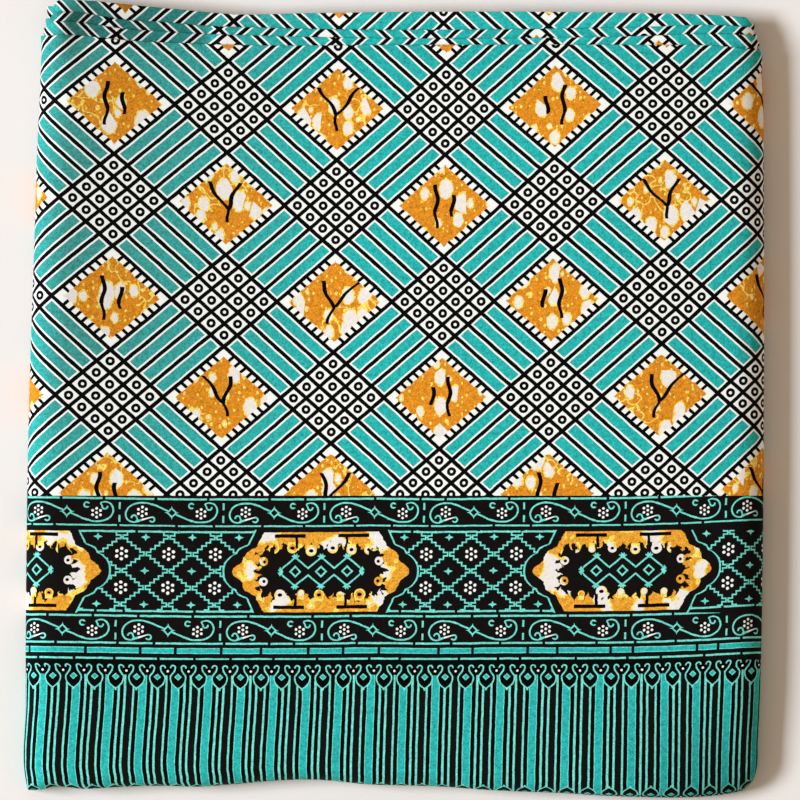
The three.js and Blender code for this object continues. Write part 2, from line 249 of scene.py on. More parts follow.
def draw_field(tree, u, v):
    x = (u - FIELD_U) / REPEAT_U
    y = (v - FIELD_V) / REPEAT_V
    s = x + y
    t = x - y
    s_band = middled(s, 1.0)
    t_band = middled(t, 1.0)
    s_gap = middled(s + 0.5, 1.0)
    t_gap = middled(t + 0.5, 1.0)
    in_s = abs(s_band) < BAND / 2
    in_t = abs(t_band) < BAND / 2
    s_cell = middled(s_band + BAND / 8, BAND / 4) * (4 / BAND)
    t_cell = middled(t_band + BAND / 8, BAND / 4) * (4 / BAND)

    # The bars: c is the place across a bar, e the distance to the middle of its length.
    c = abs(s_cell * in_s + t_cell * ~in_s)
    e = abs(t_gap * in_s + s_gap * ~in_s)
    bar_white = (c < CELL_WHITE) & (e < BAR_WHITE_END)
    bar_teal = (c < BAR_TEAL) & (e < BAR_TEAL_END)

    # The ringed cells.
    cell_white = (abs(s_cell) < CELL_WHITE) & (abs(t_cell) < CELL_WHITE)
    ring_u = (s_cell + t_cell) * (BAND / 8 * REPEAT_U)
    ring_v = (s_cell - t_cell) * (BAND / 8 * REPEAT_V)
    ring = abs(hypot(ring_u, ring_v) - RING) < RING_HALF

    # The ochre diamonds: p and q run across it both ways, from its middle, in millimetres.
    half = (1 - BAND) / 2 * PERP
    p = abs(s_gap) * PERP
    q = abs(t_gap) * PERP
    near_p = p > q
    inward = half - node(tree, "Math", p, q, operation="MAXIMUM")
    length = abs(t_gap * near_p + s_gap * ~near_p) * SIDE
    tooth = (abs(middled(length, TOOTH)) < 0.82) & (length < TOOTH * 3.4)
    spot = node(tree, "CombineXYZ", u, v)
    rough = node(tree, "TexNoise", spot, None, 0.45, 1.0, noise_dimensions="2D")
    ochre = inward > 3.3 + rough * 1.6
    line = inward < 1.0

    # Wax that fell on the ochre: rounded white spots with a yellow rim, and small yellow ones.
    drops = node(tree, "VectorMath", spot, (0.118, 0.082, 1.0), operation="MULTIPLY")
    drop = node(tree, "TexVoronoi", drops, None, 1.0, voronoi_dimensions="2D")
    drop_size = node(tree, "SeparateXYZ", Wire(drop.socket.node.outputs["Color"]))
    reach = drop + rough * 0.16
    wax = reach < drop_size * DROP
    rim = reach < drop_size * DROP + 0.075
    crumbs = node(tree, "VectorMath", spot, (0.42, 0.3, 1.0), operation="MULTIPLY")
    crumb = node(tree, "TexVoronoi", crumbs, None, 1.0, voronoi_dimensions="2D")
    crumb_size = node(tree, "SeparateXYZ", Wire(crumb.socket.node.outputs["Color"]))
    thin = crumb < crumb_size * 0.75 - 0.42

    # The wax also cracked in places, so that the yellow ran in thin veins.
    crack = node(tree, "VectorMath", drops, (0.8, 0.9, 1.0), operation="MULTIPLY")
    bend = node(tree, "TexNoise", spot, None, 0.12, 1.0, out=1, noise_dimensions="2D")
    crack = node(tree, "VectorMath", crack, bend, operation="ADD")
    crack = node(tree, "TexVoronoi", crack, None, 1.0, feature="DISTANCE_TO_EDGE")
    where = node(tree, "TexNoise", spot, None, 0.021, 0.0, noise_dimensions="2D")
    vein = (crack < 0.022 + rough * 0.03) & (where > 0.6)

    # A brushed mark in each ochre diamond: a stem that forks, or a long and a short wavy line.
    column = math.floor(s) + math.floor(t)
    first, second, third = chances(tree, math.floor(s), math.floor(t))
    mid_u = (s_gap + t_gap) * (REPEAT_U / 2)
    mid_v = (s_gap - t_gap) * (REPEAT_V / 2)
    way = (second > 0.5) * 2 - 1
    paired = (column * 0.25 + 0.75) % 1.0 < 0.4
    sway = node(tree, "Math", mid_v * 0.45 + first * 6.3, operation="SINE") * 0.8
    fork = node(tree, "Math", (3.2 - mid_v) * (0.48 + third * 0.25), 0.0, operation="MAXIMUM")
    lean = (second - 0.5) * mid_v * 0.6
    spread = fork * ~paired + paired * 4.4
    across_mark = mid_u + sway + lean * ~paired
    stroke = abs(abs(across_mark) - spread) < 0.85 + (fork > 0.1) * 0.25
    short = paired * (across_mark * way > 0)
    stroke = stroke & (mid_v < 10.8 + way - short * 6.0) & (mid_v > short * 5.6 - 11.4)

    gap = painted(
        tree,
        WHITE,
        [
            (tooth, BLACK),
            (ochre, OCHRE),
            (ochre & (thin | vein), YELLOW),
            (ochre & rim, YELLOW),
            (ochre & wax, WAXED),
            (ochre & stroke, BLACK),
            (line, BLACK),
        ],
    )
    bars = painted(tree, BLACK, [(bar_white, WHITE), (bar_teal, TEAL)])
    rings = painted(tree, BLACK, [(cell_white, WHITE), (cell_white & ring, BLACK)])
    return painted(tree, gap, [(in_s | in_t, bars), (in_s & in_t, rings)])


# --- The scroll bands of the border ---------------------------------------------------------
# Black bands, each with a run of S-shaped scrolls on a small diamond, parted by broken uprights
# and edged with thin broken teal lines.
SCROLL = (53.35, 53.75)  # from one scroll to the next, in the upper and the lower band
SCROLL_U = (16.6, 17.3)  # an upright between two scrolls
SCROLL_V = (247.8, 310.2)
CURL_A, CURL_B = 15.9, 0.27  # how far out from a scroll's middle, and down, its arm curls round
ARM = 16.4  # the reach that is 1 in the curve of the arm
ARM_CURVE = [  # turn round the curl, reach
    (0.0, 0.95),
    (0.03, 0.72),
    (0.07, 0.54),
    (0.11, 0.44),
    (0.15, 0.385),
    (0.22, 0.33),
    (0.3, 0.33),
    (0.37, 0.36),
    (0.46, 0.43),
    (0.52, 0.463),
    (0.58, 0.455),
    (0.65, 0.375),
    (0.72, 0.275),
    (1.0, 0.2),
]


def rule(u, v, middle, half, step, offset):
    """A teal line along the border, broken at uneven steps where the resist cracked."""
    place = (u + offset) / step
    cell = math.floor(place)
    tree = u.socket.node.id_data
    chance = node(tree, "TexWhiteNoise", None, cell + offset, noise_dimensions="1D")
    broken = abs(place - cell - 0.2 - chance * 0.6) < 0.75 / step
    return (abs(v - middle) < half) & ~broken


def flower(x, y, ring, dot):
    """Seven dots: one in the middle and six round it. x and y are distances from the middle."""
    ax = abs(x)
    ay = abs(y)
    middle = hypot(x, y) < dot
    top = hypot(x, ay - ring) < dot
    side = hypot(ax - ring * 0.87, ay - ring / 2) < dot
    return middle | top | side


def draw_scrolls(middle, start, period, rules):
    def draw(tree, u, v):
        x = middled(u - start - period / 2, period)
        y = v - middle
        post = (abs(abs(x) - period / 2) < 0.5) & (abs(abs(y) - 3.4) < 1.8)
        star = abs(x) + abs(y)
        hub = (star < 2.85) & ~(star < 1.75)
        spike = (abs(x) * 0.45 + abs(y) * 2.1 < 1.75) | (abs(x) * 2.1 + abs(y) * 0.5 < 1.85)
        spike = spike & ~(star < 1.75)
        # Both arms are alike, turned half round. a and b are the place on the right-hand one.
        turn = (x > 0) * 2 - 1
        a = x * turn
        b = y * turn
        curl_a = a - CURL_A
        curl_b = b + CURL_B
        angle = 0.5 - node(tree, "Math", curl_b, curl_a, operation="ARCTAN2") * (1 / math.tau)
        # The arm, round the flower: how far it is from there at each turn, from the left end
        # by way of the bottom, the right and the top.
        arm = node(tree, "FloatCurve", 1.0, angle, points=ARM_CURVE)
        straight = (abs(b - a * 0.435) < 0.48) & (a > 1.9) & (a < 7.4)
        sweep = abs(hypot(curl_a, curl_b) - arm * ARM) < 0.44 + (angle < 0.12) * 0.2
        sweep = sweep & (angle < 0.715) & (a > 7.0)
        hook = (abs(hypot(a - 19.2, b + 2.9) - 1.33) < 0.42) & (b > -3.1)
        hook = hook | (abs(a - 17.5 - (b + 3.66) * 0.55) < 0.42) & (abs(b + 3.75) < 0.85)
        small = abs(hypot(a - 10.0, b + 3.66) - 1.27) < 0.42
        small = small & ~((a > 10.5) & (abs(b + 3.5) < 0.75))
        leaf = abs(b + 4.75 + (a - 18.0) * 0.314) < 0.25 + (a - 10.5) * 0.055
        leaf = leaf & (a > 10.6) & (a < 18.4) & ~(x > 0)
        white = leaf & (a < 15.2)
        petals = flower(a - 15.1, b - 0.5, 2.3, 0.7)
        teal = sweep | straight | hook | small | leaf | hub | spike | post
        full = []
        for place, half, step, offset in rules:
            teal = teal | rule(u, v, place, half, step, offset)
            if half > 1:  # a wide one is filled with the deeper teal
                full.append((rule(u, v, place, half - 0.42, step, offset), TEAL))
        return painted(tree, BROWN_BLACK, [(teal, PALE_TEAL), *full, (petals | white, WHITE)])

    return draw


# --- The lattice band of the border ---------------------------------------------------------
# Stepped teal lines make a net of diamonds, with flowers and small crosses in them by turns.
# Long medallions, ochre within a teal outline, lie on the net.
NET_U, NET_V = 24.1, 17.85
NET_V0 = 269.8  # the middle of one row of flowers
STEP_U, STEP_V = 2.17, 1.785
STEP_FIRST = 0.6
BAND_MIDDLE = 278.9
MEDALLION = 160.2  # from one to the next
MEDALLION_U = -37.7
MEDALLION_HALF, MEDALLION_UP = 53.0, 20.4  # half its length and half its height
NET_END = 21.6  # from the middle of the band to its edge
LOBE_STEP = 10.6
OUTLINE_CURVE = [  # half the length of the teal outline by height, both as shares
    (0.0, 0.975),
    (0.21, 0.96),
    (0.34, 0.925),
    (0.42, 0.89),
    (0.465, 0.855),
    (0.52, 0.845),
    (0.61, 0.81),
    (0.66, 0.765),
    (0.7, 0.735),
    (0.78, 0.72),
    (1.0, 0.68),
]
OCHRE_CURVE = [  # the same, of the ochre
    (0.0, 0.888),
    (0.1, 0.87),
    (0.19, 0.83),
    (0.26, 0.79),
    (0.38, 0.775),
    (0.5, 0.748),
    (0.58, 0.7),
    (0.64, 0.655),
    (0.75, 0.635),
    (1.0, 0.58),
]


def draw_lattice(tree, u, v):
    # The net is laid out from the middle between two medallions.
    mx = middled(u - MEDALLION_U, MEDALLION)
    ax = abs(middled(MEDALLION / 2 - abs(mx), NET_U))
    mx = mx + (u < MEDALLION_U - MEDALLION / 2) * 1.3
    my = v - BAND_MIDDLE
    amx = abs(mx)
    amy = abs(my)
    ay = abs(middled(v - NET_V0, NET_V))

    def within_steps(grown):
        """Inside a diamond with stepped sides that is grown by so much."""
        tread = (math.floor((ax - grown - STEP_FIRST) / STEP_U) + 0.5) * STEP_V
        tread = node(tree, "Math", tread, 0.0, operation="MAXIMUM")
        return ay - grown < NET_V / 2 - tread

    net = within_steps(0.38) & ~within_steps(-0.38) & (amy < NET_END)
    blooms = flower(ax, ay, 2.75, 0.84) & (amy < NET_END)
    cx = NET_U / 2 - ax
    cy = NET_V / 2 - ay
    star = (cx * 0.58 + cy * 1.5 < 1.4) | (cx * 1.5 + cy * 0.72 < 1.4)

    # The outline and the ochre, from the middle line to an edge.
    height = amy / MEDALLION_UP
    outline = node(tree, "FloatCurve", 1.0, height, points=OUTLINE_CURVE)
    rind = node(tree, "FloatCurve", 1.0, height, points=OCHRE_CURVE)
    outline = outline * MEDALLION_HALF
    line = abs(amx - outline) < 0.46 + (abs(height - 0.63) < 0.05) * 0.4
    inside = amx < outline
    spot = node(tree, "CombineXYZ", u, v)
    rough = node(tree, "TexNoise", spot, None, 0.3, 2.0, noise_dimensions="2D")
    body = amx < rind * MEDALLION_HALF + (rough - 0.5) * 2.2
    body = body & (my > -20.8) & (my < 21.5)
    # The black middle has an uneven spiky edge.
    ragged = node(tree, "TexNoise", spot, None, 0.11, 1.0, noise_dimensions="2D")
    teeth_x = abs(middled(mx + rough * 6, 4.9)) * ragged * 3.2 + rough * 1.0
    teeth_y = abs(middled(my + rough * 5, 4.6)) * ragged * 3.6 + rough * 2.0
    middle = (amy < 10.8 + teeth_x) & (amx < 30.2 + teeth_y)
    middle = middle & (amx * 0.42 + amy < 21.6 + teeth_x)
    # Lobes of wax reach into it, most with a dark eye: a row above, a row below, two each end.
    lower = my > 0
    row = mx / LOBE_STEP + lower * 0.45
    cell = math.floor(row)
    first, second, third = chances(tree, cell, lower + math.floor(u / MEDALLION) * 3)
    size = 1.7 + second * 1.4
    aside = abs(row - cell - 0.35 - first * 0.3) * LOBE_STEP
    inward = 12.6 - third * 1.6 - amy
    along_row = amx < 25.0
    lobe = (hypot(aside, inward) < size) | (aside < size * 0.85) & (abs(inward + 1.6) < 1.6)
    end_lobe = hypot(amx - 30.6, amy - 5.4) < 2.3
    lobe = lobe & along_row | end_lobe
    eye = (hypot(aside, inward * 1.3) < size * 0.42) & (second > 0.3) & along_row
    eye = eye | (hypot(amx - 30.2, amy - 5.2) < 0.85)
    lobe_rim = (hypot(aside, inward) > size * 0.72) & along_row
    marbled = node(tree, "TexNoise", spot, None, 0.075, 2.0, 0.5, noise_dimensions="2D")
    ends = (amx > 30.0) * 0.035
    white = (marbled > 0.59 - ends) | (lobe & (third > 0.5) & ~lobe_rim)
    yellow = (marbled > 0.53 - ends) | (lobe & lobe_rim)
    dash = (abs(amx - 16.8) < 8.2) & (abs(amy - 18.9) < 0.95)
    drip = (abs(amx - 12.8 - rough) < 0.75) & (abs(amy - 15.6) < 3.3)
    # Three linked diamonds with crowned tips.
    link = 13.75
    lax = abs(middled(mx, link))
    within = amx < link * 1.5
    chain = (abs(amy - 7.5 + lax * 0.83) < 0.56) & within
    chain = chain | (abs(lax + amy - 2.6) < 0.6) & within
    tip = abs(lax) * 0.8 + abs(amy - 8.2) < 1.75
    tip = tip & ~((lax < 0.45) & (amy > 8.9)) & ~((abs(lax - 1.3) < 0.3) & (amy > 8.4))
    end = amx - link * 1.5
    end_tip = (abs(end - 1.1) + amy * 0.7 < 1.7) & ~((amy < 0.4) & (end > 1.7))
    close = (abs(end * 0.85 + amy - 1.2) < 0.7) & (end > -0.1) & (end < 1.6)
    chain = chain | (tip & within) | end_tip | close

    edges = rule(u, v, 258.0, 0.48, 29.1, 5.0) | rule(u, v, 300.1, 0.48, 27.3, 9.0)
    return painted(
        tree,
        BROWN_BLACK,
        [
            ((net | star | edges) & ~inside, PALE_TEAL),
            (blooms & ~inside, WHITE),
            (body, AMBER),
            (body & yellow, YELLOW),
            (body & white, WAXED),
            (body & middle & ~lobe, BROWN_BLACK),
            (body & (eye | dash | drip & ~middle), BLACK),
            (chain, PALE_TEAL),
            (line, PALE_TEAL),
        ],
    )


# --- The barred end of the border -----------------------------------------------------------
# A row of hooked heads over black pointed cups, then upright bars in groups down to the edge,
# where the cups come again, upside down.
HOOK = 10.93
HOOK_U = 95.9
BARS = 17.3
BARS_U = -9.3
HEAD, HEAD_WIDE = 16.0, 6.0  # a head's height with its cup, and the unit of its width
HEADS_TOP = 327.4
TIPS_END = 408.6
BAR_COLOURS = [  # from where in a group of bars, as a share of it
    (0.0, PALE_TEAL),
    (0.022, TEAL),
    (0.226, PALE_TEAL),
    (0.248, BLACK),
    (0.369, PALE_TEAL),
    (0.44, BLACK),
    (0.557, PALE_TEAL),
    (0.625, BROWN_BLACK),
    (0.817, PALE_TEAL),
    (0.877, BLACK),
]
HEAD_CURVE = [  # height from the curl down to the point, half width
    (0.0, 0.25),
    (0.15, 0.26),
    (0.265, 0.33),
    (0.34, 0.46),
    (0.4, 0.58),
    (0.47, 0.67),
    (0.56, 0.66),
    (0.64, 0.59),
    (0.69, 0.52),
    (0.79, 0.26),
    (0.885, 0.0),
    (1.0, 0.0),
]


def draw_bars(tree, u, v):
    place = ((u - BARS_U) / BARS + 0.125) % 1.0
    bars = node(tree, "ValToRGB", place, stops=BAR_COLOURS)
    # The heads at the two ends of the bars are alike, one upside down. low is the distance
    # below the top of a head.
    low = node(tree, "Math", v - HEADS_TOP, TIPS_END - v, operation="MINIMUM")
    x = abs(middled(u - HOOK_U, HOOK))
    side = node(tree, "FloatCurve", 1.0, low / HEAD, points=HEAD_CURVE)
    side = side * HEAD_WIDE
    slanted = (low > 4.0) * (low < 6.9) * 0.12 + (low > 11.0) * 0.16
    outline = (abs(x - side) < 0.36 + slanted) & (low > 2.5) & (low < 14.7)
    curl = (abs(hypot(x - 2.78, low - 2.6) - 1.22) < 0.36) & (low < 2.8)
    gem = x * 0.92 + abs(low - 7.5)
    seed = hypot(HOOK / 2 - x, low - 4.4) < 0.6
    head = (low < 6.6) | (x < side) & (low < 14.6)
    pale = outline | curl | (gem < 1.8)
    return painted(
        tree, bars, [(head, BLACK), (pale, PALE_TEAL), (gem < 1.2, TEAL), (seed, WHITE)]
    )


field = printed_cotton("print_field", draw_field)
upper_scrolls = printed_cotton(
    "print_upper_scrolls",
    draw_scrolls(
        SCROLL_V[0],
        SCROLL_U[0],
        SCROLL[0],
        [(240.6, 0.52, 25.7, 3.0), (254.8, 0.42, 24.3, 11.0)],
    ),
)
lattice = printed_cotton("print_lattice", draw_lattice)
lower_scrolls = printed_cotton(
    "print_lower_scrolls",
    draw_scrolls(
        SCROLL_V[1],
        SCROLL_U[1],
        SCROLL[1],
        [
            (302.7, 0.52, 27.3, 2.0),
            (317.1, 0.5, 25.1, 6.0),
            (321.0, 1.5, 22.7, 12.0),
            (325.3, 0.5, 22.1, 1.0),
        ],
    ),
)
# The lower folds get painted shade at their left.
folds_field = printed_cotton("print_field_folds", draw_field, fold_shade=0.34)
barred = printed_cotton("print_bars", draw_bars)
ZONES = [
    (0, field),
    (238.9, upper_scrolls),
    (257.2, lattice),
    (300.9, lower_scrolls),
    (326.9, barred),
]

# --- The outline of the stack ---------------------------------------------------------------
# Pressed flat by hand: its sides are rolled over about 42 layers, its folds lie unevenly, and
# its front end is drawn in where the cloth was turned down.
HEIGHT = 20.0
WIDEST_AT = 9.0
LEFT_ROLL, RIGHT_ROLL, FRONT_ROLL = 16.0, 16.0, 8.0
LAYER_PITCH = 1.9
FOLD_AT = 187.4  # the panel's own fold, along the middle of the back
FRONT_AT = -197.0  # where the front starts to turn down
FRONT_END = 8.5
CROWN, CROWN_X, CROWN_Y = 1.2, 196, 213  # how far the top swells, and to where

LEFT_SIDE = [  # y, x
    (-210, -193.6),
    (-204, -195.2),
    (-160, -195.6),
    (-80, -195.2),
    (0, -193.8),
    (78, -191.2),
    (130, -189.6),
    (170, -187.8),
    (190, -187.4),
    (199, -188.6),
    (206, -190.0),
    (213, -189.4),
]
RIGHT_SIDE = [  # y, x
    (-210, 181.0),
    (-207, 185.6),
    (-203, 189.4),
    (-197, 191.7),
    (-181, 192.6),
    (-160, 193.6),
    (-128, 194.4),
    (-54, 195.4),
    (158, 195.4),
    (187, 195.2),
    (196, 196.4),
    (200, 196.4),
    (204, 195.6),
    (213, 193.4),
]
FRONT_LINE = [  # x, y
    (-195, -207.2),
    (-187, -207.2),
    (-181, -205.8),
    (-165, -206.9),
    (-148, -206.0),
    (-125, -205.2),
    (-104, -205.7),
    (-85, -204.4),
    (-62, -202.5),
    (-47, -201.9),
    (-34, -202.5),
    (-16, -204.4),
    (6, -205.1),
    (24, -205.6),
    (45, -207.2),
    (66, -208.3),
    (88, -209.1),
    (109, -210.4),
    (130, -211.2),
    (151, -211.5),
    (167, -210.7),
    (178, -209.1),
    (185, -206.8),
    (190, -202.0),
]
PANEL_FOLD = [  # x, y
    (-188, 192.2),
    (-169, 192.6),
    (-155, 191.2),
    (-140, 189.7),
    (-110, 188.3),
    (-89, 187.5),
    (-71, 187.2),
    (0, 187.4),
    (130, 187.4),
    (172, 186.8),
    (195, 184.4),
]
# Soft creases in the top: middle, direction, half length, width and depth. Positive stands up.
CREASES = [  # x, y, degrees, length, width, height
    (-60, -193.4, 2, 27, 2.2, -1.3),
    (-84, -195, 82, 6, 2.0, -0.9),
    (-68, -196, 76, 5, 1.6, -0.7),
    (-28, -192.0, 70, 4.5, 2.4, -1.2),
    (-55, -187.0, 5, 34, 5.0, 0.7),
    (-146, -33, 82, 22, 2.4, -0.35),
    (-143, -33, 82, 22, 2.4, 0.25),
    (-178, 201, 78, 18, 6.0, 3.2),
    (-161, 200, 70, 17, 9.0, -3.0),
    (-128, 196, -8, 34, 12.0, -1.8),
    (-98, 195, 80, 9, 3.2, -2.6),
    (-92, 195, 80, 10, 4.0, 1.4),
    (-150, 176, -22, 38, 6.0, -0.9),
    (-100, 182, -12, 30, 4.0, -0.7),
    (168, 172, 28, 26, 7.0, -0.8),
    (212, -220, 52, 46, 40.0, -10.0),
    (-170, -188, 80, 14, 5.0, 0.5),
    (60, -200, -8, 42, 6.0, -0.5),
    (128, -196, 4, 36, 7.0, 0.6),
    (30, 60, 14, 90, 26.0, 0.25),
    (-70, 10, -20, 80, 22.0, -0.25),
    (110, -60, 70, 70, 20.0, -0.25),
]


def along(table, at):
    """Reads a two-column table between its rows, on a smooth curve through them."""
    xs = np.array([row[0] for row in table], float)
    ys = np.array([row[1] for row in table], float)
    slopes = np.gradient(ys, xs)
    at = np.clip(np.asarray(at, float), xs[0], xs[-1])
    i = np.clip(np.searchsorted(xs, at, side="right") - 1, 0, len(xs) - 2)
    step = xs[i + 1] - xs[i]
    t = (at - xs[i]) / step
    a = (1 + 2 * t) * (1 - t) ** 2 * ys[i] + t * (1 - t) ** 2 * step * slopes[i]
    return a + t * t * (3 - 2 * t) * ys[i + 1] + t * t * (t - 1) * step * slopes[i + 1]


def eased(at, start, end):
    """0 before start, 1 after end, and smooth between them."""
    t = np.clip((at - start) / (end - start), 0, 1)
    return t * t * (3 - 2 * t)


def relief(x, y):
    """How far the top surface stands above or below its plain height."""
    height = CROWN * np.clip(1 - (x / CROWN_X) ** 2, 0, 1) * np.clip(1 - (y / CROWN_Y) ** 2, 0, 1)
    for cx, cy, degrees, length, width, depth in CREASES:
        c, s = math.cos(math.radians(degrees)), math.sin(math.radians(degrees))
        on = ((x - cx) * c + (y - cy) * s) / length
        off = ((y - cy) * c - (x - cx) * s) / width
        height = height + depth * np.exp(-on * on - off * off)
    return height


# How the print lies on the stack. The cloth was folded a little askew, so the print drifts to
# the left towards the front; it is pulled out at the left side, its rows dip and rise, and its
# bars lean by different amounts.
PRINT_LEFT = 2.8
DRIFT = [  # y, shift to the left
    (-215, 6.7),
    (-160, 5.75),
    (-54, 3.2),
    (76, 0.1),
    (121, -0.5),
    (146, -0.85),
    (171, -1.2),
    (212, -1.6),
]
PULL = [  # x, shift to the left of the print, and of the heads and bars alone
    (-196, 3.8, -2.6),
    (-176, 3.2, -2.0),
    (-143, 1.7, -1.2),
    (-110, 0.6, -0.3),
    (-78, -0.1, 0.2),
    (-45, 0.0, 0.1),
    (-12, 0.0, 0.5),
    (21, 0.5, 0.3),
    (54, 0.9, 0.1),
    (87, 0.7, 0.0),
    (119, 0.5, -0.1),
    (152, 0.1, 0.6),
    (185, 0.8, 1.2),
]
LEAN = [  # x, how far the bars go to the left by the front edge
    (-196, 1.9),
    (-140, 1.8),
    (-50, 1.3),
    (0, 0.5),
    (40, 0.5),
    (100, 0.2),
    (126, -0.2),
    (143, -0.4),
    (160, 0.0),
    (175, 0.9),
    (195, 1.2),
]
DIP = [  # x, how far the rows of the border lie below their place, and more at the back
    (-196, -0.9, -3.9),
    (-176, -0.7, -3.5),
    (-143, -0.2, -2.1),
    (-110, 0.25, -1.3),
    (-78, 0.3, 0.3),
    (-45, 0.25, 0.9),
    (-12, -0.1, 1.05),
    (21, 0.2, 1.05),
    (54, -0.1, 0.6),
    (87, -0.2, -0.5),
    (119, -0.4, -1.7),
    (152, -1.3, -1.7),
    (190, -3.2, -1.2),
]


def flat_place(x, y, unrolled_x, pulled=1.0):
    """Where a point of the top panel is on the flat cloth, as (u, v) in millimetres.
    pulled is the share of the pull at the sides that it has."""
    swing = (eased(y, -195, -203) + 2.2 * eased(y, -203, -214)) * eased(x, 10, -140)
    lean = along(LEAN, x) * eased(y, -152, -196)
    pull = along([row[:2] for row in PULL], x)
    pull = pull + along([row[::2] for row in PULL], x) * eased(y, -137, -143)
    u = unrolled_x - PRINT_LEFT + along(DRIFT, y) + pull * pulled + lean - swing
    dip = along([row[:2] for row in DIP], x) * eased(y, 212, -60)
    dip = dip + along([row[::2] for row in DIP], x) * eased(y, -50, 130)
    return u, FOLD_AT - y - dip


# --- How a layer lies across the stack ------------------------------------------------------
# Each layer rolls from under the left side over the top to the right side; the outermost goes
# on beneath as the flap that the stack rests on.
ROLL_STEP, ROLL_STEPS = 7.5, 12  # in degrees, from the widest place of a side up to the top
LOWER_STEP = 9.0  # in degrees, below the widest place
TOP_COLUMNS = 104
UNDER_COLUMNS = 40
UNDERSIDE_MARGIN = 24.0


def stations(left_steps, right_steps, under):
    """(where, value) for each column of a layer, from its left end to its right end."""
    found = [("left", -LOWER_STEP * i) for i in range(left_steps, 0, -1)]
    found += [("left", ROLL_STEP * i) for i in range(ROLL_STEPS + 1)]
    found += [("top", i / TOP_COLUMNS) for i in range(1, TOP_COLUMNS)]
    found += [("right", ROLL_STEP * i) for i in range(ROLL_STEPS, -1, -1)]
    found += [("right", -LOWER_STEP * i) for i in range(1, right_steps + 1)]
    return found + [("under", i / UNDER_COLUMNS) for i in range(1, under + 1)]


def across(columns, line, side, top, floor, mid):
    """One row of a layer: its points, and how far along the cloth each is from x = 0.
    line(x) is the row's y, side its inset from the outline, top and floor its heights."""
    ends = {"left": -190.0, "right": 190.0}
    for _ in range(5):  # an end's x and y depend on each other, and soon settle
        ends["left"] = float(along(LEFT_SIDE, line(ends["left"])))
        ends["right"] = float(along(RIGHT_SIDE, line(ends["right"])))
    left, right = ends["left"] + side, ends["right"] - side
    roll_left, roll_right = LEFT_ROLL - side, RIGHT_ROLL - side
    xs, zs = [], []
    for where, value in columns:
        turn = math.radians(value)
        reach = top - mid if value > 0 else mid - floor
        if where == "left":
            xs.append(left + roll_left * (1 - math.cos(turn)))
            zs.append(mid + reach * math.sin(turn))
        elif where == "right":
            xs.append(right - roll_right * (1 - math.cos(turn)))
            zs.append(mid + reach * math.sin(turn))
        elif where == "top":
            xs.append(left + roll_left + (right - roll_right - left - roll_left) * value)
            zs.append(top)
        else:
            start = right - roll_right
            xs.append(start + (ends["left"] + UNDERSIDE_MARGIN - start) * value)
            zs.append(floor)
    xs, zs = np.array(xs), np.array(zs)
    lengths = np.concatenate([[0], np.cumsum(np.hypot(np.diff(xs), np.diff(zs)))])
    middle = next(i for i, (where, value) in enumerate(columns) if where == "top" and xs[i] > 0)
    unrolled = lengths - lengths[middle] + xs[middle]
    ys = line(xs)
    lift = np.clip((zs - mid) / max(top - mid, 1.0), 0, 1)
    fall = min(1.0, (top - floor) / (HEIGHT - 2))
    zs = zs + relief(xs, ys) * lift * lift * fall
    return np.stack([xs, ys, zs], 1), unrolled


def mesh_piece(name, points, places, faces, materials):
    """A smooth mesh of points in millimetres, whose UVs are their places on the flat cloth."""
    mesh = bpy.data.meshes.new(name)
    mesh.from_pydata((points * MM).tolist(), [], faces)
    flat = mesh.uv_layers.new(name="flat_mm")
    loops = [i for face in faces for i in face]
    flat.data.foreach_set("uv", places[loops].ravel())
    for material in materials:
        mesh.materials.append(material)
    mesh.polygons.foreach_set("use_smooth", [True] * len(faces))
    mesh.update()
    piece = bpy.data.objects.new(name, mesh)
    bpy.context.scene.collection.objects.link(piece)
    return piece


def surface(name, rows, places, zones):
    """A mesh through rows of points. places are their (u, v) on the flat cloth, and zones give
    the print by v."""
    count = len(rows[0])
    faces, kinds = [], []
    for j in range(len(rows) - 1):
        v = places[j][:, 1].mean() / 2 + places[j + 1][:, 1].mean() / 2
        kind = sum(v >= start for start, _ in zones) - 1
        for i in range(count - 1):
            a = j * count + i
            faces.append((a, a + count, a + count + 1, a + 1))
            kinds.append(max(kind, 0))
    prints = [material for _, material in zones]
    piece = mesh_piece(name, np.concatenate(rows), np.concatenate(places), faces, prints)
    piece.data.polygons.foreach_set("material_index", kinds)
    thick = piece.modifiers.new("cloth", "SOLIDIFY")
    thick.thickness = CLOTH_THICK * MM
    thick.offset = -1
    return piece


# --- The top panel --------------------------------------------------------------------------
# One layer of the cloth: folded back under itself along the back edge, over the top, down over
# the front, round both sides and on under the stack.
FOLD_RADIUS = 0.7
RETURN = 20.0


def panel_fold(x):
    return along(PANEL_FOLD, x)


